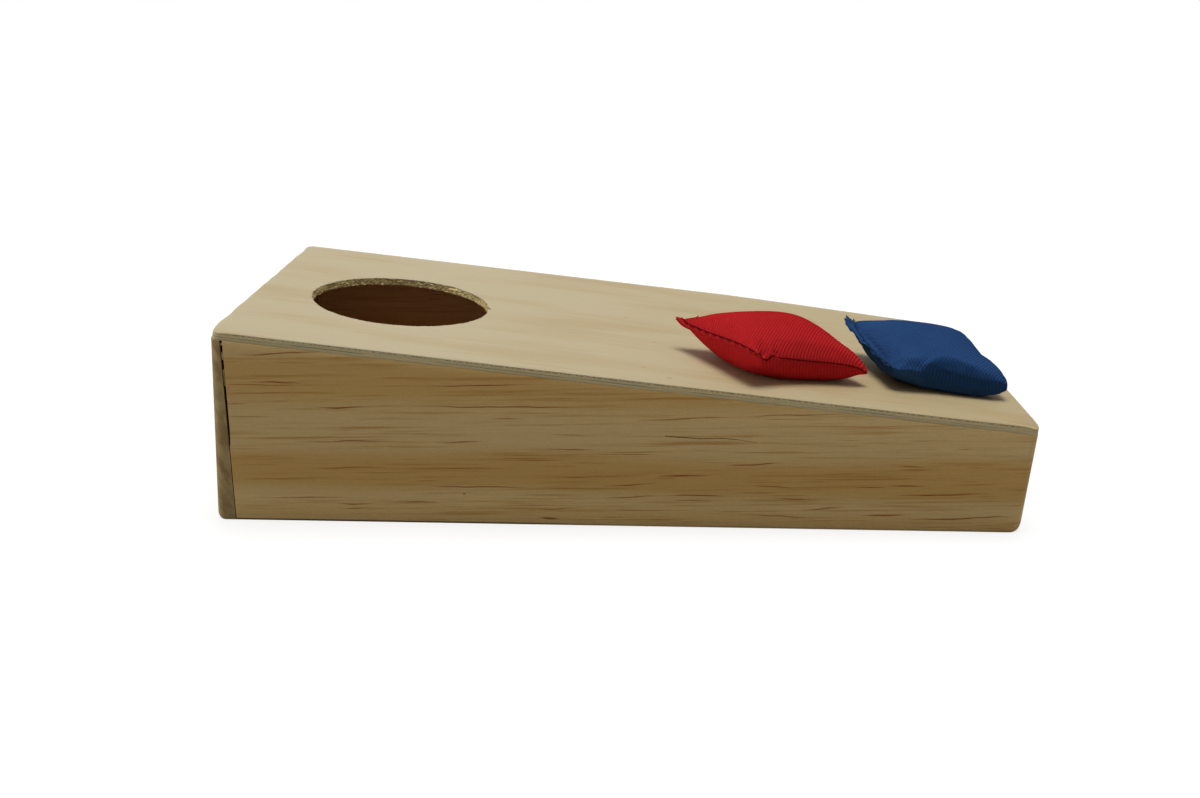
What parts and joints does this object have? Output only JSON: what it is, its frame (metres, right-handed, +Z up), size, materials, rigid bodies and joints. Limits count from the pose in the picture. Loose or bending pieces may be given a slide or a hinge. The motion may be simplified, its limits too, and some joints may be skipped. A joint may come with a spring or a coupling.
{
  "type": "tabletop cornhole game",
  "caption": "Small wooden wedge-shaped box with a round hole near the tall end of its sloping deck, and square cloth bean bags lying on the deck, ready to be tossed at the hole.",
  "frame": {"origin": "on the surface the box stands on, under the middle of its footprint", "axes": "+X from the tall end with the hole towards the low end, +Y from the front side board to the back one, +Z up"},
  "size_m": [0.3048, 0.148, 0.074],
  "materials": {
    "face_veneer": "bare sanded veneer, pale cream",
    "core_veneer": "bare sawn edge, grey-green",
    "back_veneer": "bare sanded veneer",
    "side_board_wood": "bare sanded pine with brown grain streaks",
    "end_board_wood": "bare sanded pine, end grain on its edges",
    "red_cloth": "coarse woven cloth",
    "red_thread": "sewing thread",
    "blue_cloth": "coarse woven cloth",
    "blue_thread": "sewing thread",
    "pellets": "smooth resin"
  },
  "bodies": {
    "box": {"deck_face_veneer": "face_veneer", "deck_core_veneer": "core_veneer", "deck_back_veneer": "back_veneer", "front_side_board": "side_board_wood", "back_side_board": "side_board_wood", "tall_end_board": "end_board_wood", "low_end_board": "end_board_wood"},
    "red_bag": {"red_bag_top_panel": "red_cloth", "red_bag_bottom_panel": "red_cloth", "red_bag_closing_thread": "red_thread", "red_bag_fill": "pellets"},
    "blue_bag": {"blue_bag_top_panel": "blue_cloth", "blue_bag_bottom_panel": "blue_cloth", "blue_bag_closing_thread": "blue_thread", "blue_bag_fill": "pellets"}
  },
  "joints": [
    {"name": "red_bag_lift", "type": "slide", "parent": "box", "child": "red_bag", "axis": [0, 0, 1], "range_m": [0, 0.1]},
    {"name": "blue_bag_lift", "type": "slide", "parent": "box", "child": "blue_bag", "axis": [0, 0, 1], "range_m": [0, 0.1]}
  ]
}
